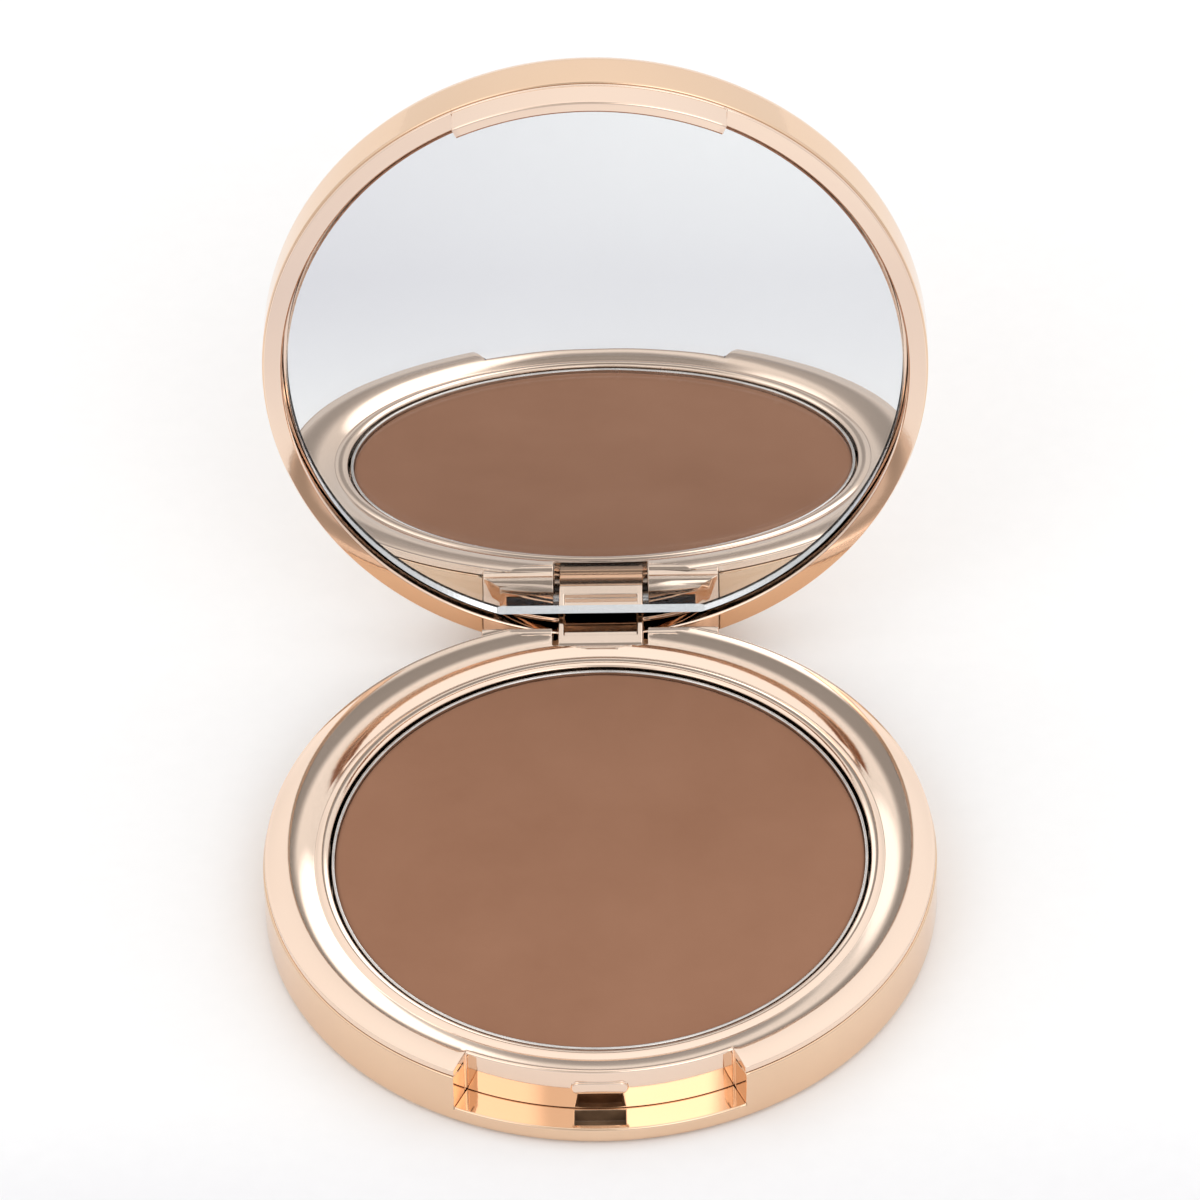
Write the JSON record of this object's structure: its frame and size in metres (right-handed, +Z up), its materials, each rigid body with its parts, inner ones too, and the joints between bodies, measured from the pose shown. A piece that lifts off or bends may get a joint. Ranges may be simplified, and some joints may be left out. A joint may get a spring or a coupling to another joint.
{
  "type": "powder compact",
  "caption": "Round metallised powder compact, shown open: a low base with a pressed-powder pan and thumb recess, and a lid with an inset mirror on a pin hinge.",
  "frame": {"origin": "centre of the base's flat underside, on the surface the compact stands on", "axes": "+Z up; +Y from the thumb recess towards the hinge; +X to the user's right; the lid is open at rest"},
  "size_m": [0.075, 0.0973, 0.0753],
  "materials": {
    "champagne_gold": "vacuum-metallised champagne gold, high gloss",
    "pale_gold": "vacuum-metallised pale gold, high gloss",
    "tin_plate": "satin",
    "pressed_powder": "matte pressed powder, warm mid brown",
    "tape_white": "matte",
    "pin_steel": "drawn wire",
    "mirror_glass": "silvered glass"
  },
  "bodies": {
    "base": {"base_shell": "champagne_gold", "base_frame": "pale_gold", "pan_tape": "tape_white", "pan": "tin_plate", "powder": "pressed_powder", "hinge_pin": "pin_steel"},
    "lid": {"lid_cover": "champagne_gold", "lid_frame": "pale_gold", "mirror_tape": "tape_white", "mirror": "mirror_glass"}
  },
  "joints": [
    {"name": "lid_hinge", "type": "hinge", "parent": "base", "child": "lid", "pos_m": [0, 0.0353, 0.0041], "axis": [1, 0, 0], "range_deg": [0, 100.3]}
  ]
}
